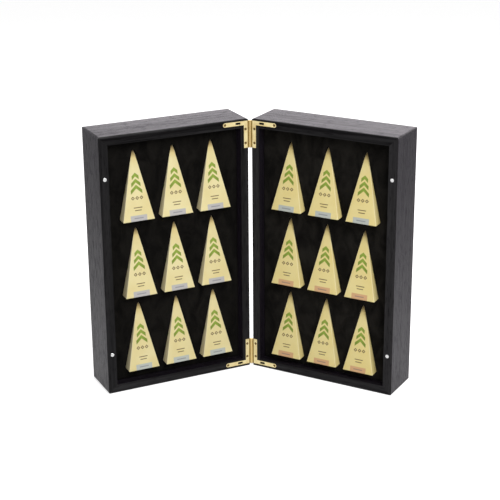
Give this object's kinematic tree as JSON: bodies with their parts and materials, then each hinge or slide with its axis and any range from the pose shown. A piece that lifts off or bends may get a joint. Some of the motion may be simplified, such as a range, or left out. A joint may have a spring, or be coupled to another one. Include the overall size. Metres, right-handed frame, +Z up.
{
  "type": "tea bag organizer box",
  "caption": "Book-style tea organizer case that stands open: hinged black wooden trays with velvet inserts, pocketed pyramid tea cartons, brass corner hinges and rim magnets.",
  "frame": {"origin": "middle of the case's footprint on the table, at rest", "axes": "+X from the left tray to the right one; +Y away from the open front, towards the spines; +Z up, along the hinge pins"},
  "size_m": [0.4378, 0.1536, 0.36],
  "materials": {
    "case": "black-stained open-grain wood, satin lacquer",
    "insert": "black velvet-flocked foam",
    "magnets": "bright nickel plate",
    "hinges": "polished brass",
    "cartons": "smooth cream printed card",
    "tea_bags": "fine mesh over dry leaf"
  },
  "bodies": {
    "left_tray": {"left_top_board": "case", "left_bottom_board": "case", "left_outer_board": "case", "left_spine_board": "case", "left_back_board": "case", "left_insert": "insert", "left_magnets": "magnets", "left_hinge_screws": "hinges", "top_hinge_left_leaf": "hinges", "top_hinge_pin": "hinges", "bottom_hinge_left_leaf": "hinges", "bottom_hinge_pin": "hinges"},
    "right_tray": {"right_top_board": "case", "right_bottom_board": "case", "right_outer_board": "case", "right_spine_board": "case", "right_back_board": "case", "right_insert": "insert", "right_magnets": "magnets", "right_hinge_screws": "hinges", "top_hinge_right_leaf": "hinges", "bottom_hinge_right_leaf": "hinges"},
    "left_tea_1": {"left_tea_carton_1": "cartons", "left_tea_bag_1": "tea_bags"},
    "left_tea_2": {"left_tea_carton_2": "cartons", "left_tea_bag_2": "tea_bags"},
    "left_tea_3": {"left_tea_carton_3": "cartons", "left_tea_bag_3": "tea_bags"},
    "left_tea_4": {"left_tea_carton_4": "cartons", "left_tea_bag_4": "tea_bags"},
    "left_tea_5": {"left_tea_carton_5": "cartons", "left_tea_bag_5": "tea_bags"},
    "left_tea_6": {"left_tea_carton_6": "cartons", "left_tea_bag_6": "tea_bags"},
    "left_tea_7": {"left_tea_carton_7": "cartons", "left_tea_bag_7": "tea_bags"},
    "left_tea_8": {"left_tea_carton_8": "cartons", "left_tea_bag_8": "tea_bags"},
    "left_tea_9": {"left_tea_carton_9": "cartons", "left_tea_bag_9": "tea_bags"},
    "right_tea_1": {"right_tea_carton_1": "cartons", "right_tea_bag_1": "tea_bags"},
    "right_tea_2": {"right_tea_carton_2": "cartons", "right_tea_bag_2": "tea_bags"},
    "right_tea_3": {"right_tea_carton_3": "cartons", "right_tea_bag_3": "tea_bags"},
    "right_tea_4": {"right_tea_carton_4": "cartons", "right_tea_bag_4": "tea_bags"},
    "right_tea_5": {"right_tea_carton_5": "cartons", "right_tea_bag_5": "tea_bags"},
    "right_tea_6": {"right_tea_carton_6": "cartons", "right_tea_bag_6": "tea_bags"},
    "right_tea_7": {"right_tea_carton_7": "cartons", "right_tea_bag_7": "tea_bags"},
    "right_tea_8": {"right_tea_carton_8": "cartons", "right_tea_bag_8": "tea_bags"},
    "right_tea_9": {"right_tea_carton_9": "cartons", "right_tea_bag_9": "tea_bags"}
  },
  "joints": [
    {"name": "case_hinge", "type": "hinge", "parent": "left_tray", "child": "right_tray", "pos_m": [0, 0.02138, 0], "axis": [0, 0, 1], "range_deg": [-125.1, 54.9]},
    {"name": "left_tea_1_lift", "type": "slide", "parent": "left_tray", "child": "left_tea_1", "axis": [0.461, -0.8874, 0], "range_m": [0, 0.06]},
    {"name": "left_tea_2_lift", "type": "slide", "parent": "left_tray", "child": "left_tea_2", "axis": [0.461, -0.8874, 0], "range_m": [0, 0.06]},
    {"name": "left_tea_3_lift", "type": "slide", "parent": "left_tray", "child": "left_tea_3", "axis": [0.461, -0.8874, 0], "range_m": [0, 0.06]},
    {"name": "left_tea_4_lift", "type": "slide", "parent": "left_tray", "child": "left_tea_4", "axis": [0.461, -0.8874, 0], "range_m": [0, 0.06]},
    {"name": "left_tea_5_lift", "type": "slide", "parent": "left_tray", "child": "left_tea_5", "axis": [0.461, -0.8874, 0], "range_m": [0, 0.06]},
    {"name": "left_tea_6_lift", "type": "slide", "parent": "left_tray", "child": "left_tea_6", "axis": [0.461, -0.8874, 0], "range_m": [0, 0.06]},
    {"name": "left_tea_7_lift", "type": "slide", "parent": "left_tray", "child": "left_tea_7", "axis": [0.461, -0.8874, 0], "range_m": [0, 0.06]},
    {"name": "left_tea_8_lift", "type": "slide", "parent": "left_tray", "child": "left_tea_8", "axis": [0.461, -0.8874, 0], "range_m": [0, 0.06]},
    {"name": "left_tea_9_lift", "type": "slide", "parent": "left_tray", "child": "left_tea_9", "axis": [0.461, -0.8874, 0], "range_m": [0, 0.06]},
    {"name": "right_tea_1_lift", "type": "slide", "parent": "right_tray", "child": "right_tea_1", "axis": [-0.461, -0.8874, 0], "range_m": [0, 0.06]},
    {"name": "right_tea_2_lift", "type": "slide", "parent": "right_tray", "child": "right_tea_2", "axis": [-0.461, -0.8874, 0], "range_m": [0, 0.06]},
    {"name": "right_tea_3_lift", "type": "slide", "parent": "right_tray", "child": "right_tea_3", "axis": [-0.461, -0.8874, 0], "range_m": [0, 0.06]},
    {"name": "right_tea_4_lift", "type": "slide", "parent": "right_tray", "child": "right_tea_4", "axis": [-0.461, -0.8874, 0], "range_m": [0, 0.06]},
    {"name": "right_tea_5_lift", "type": "slide", "parent": "right_tray", "child": "right_tea_5", "axis": [-0.461, -0.8874, 0], "range_m": [0, 0.06]},
    {"name": "right_tea_6_lift", "type": "slide", "parent": "right_tray", "child": "right_tea_6", "axis": [-0.461, -0.8874, 0], "range_m": [0, 0.06]},
    {"name": "right_tea_7_lift", "type": "slide", "parent": "right_tray", "child": "right_tea_7", "axis": [-0.461, -0.8874, 0], "range_m": [0, 0.06]},
    {"name": "right_tea_8_lift", "type": "slide", "parent": "right_tray", "child": "right_tea_8", "axis": [-0.461, -0.8874, 0], "range_m": [0, 0.06]},
    {"name": "right_tea_9_lift", "type": "slide", "parent": "right_tray", "child": "right_tea_9", "axis": [-0.461, -0.8874, 0], "range_m": [0, 0.06]}
  ]
}
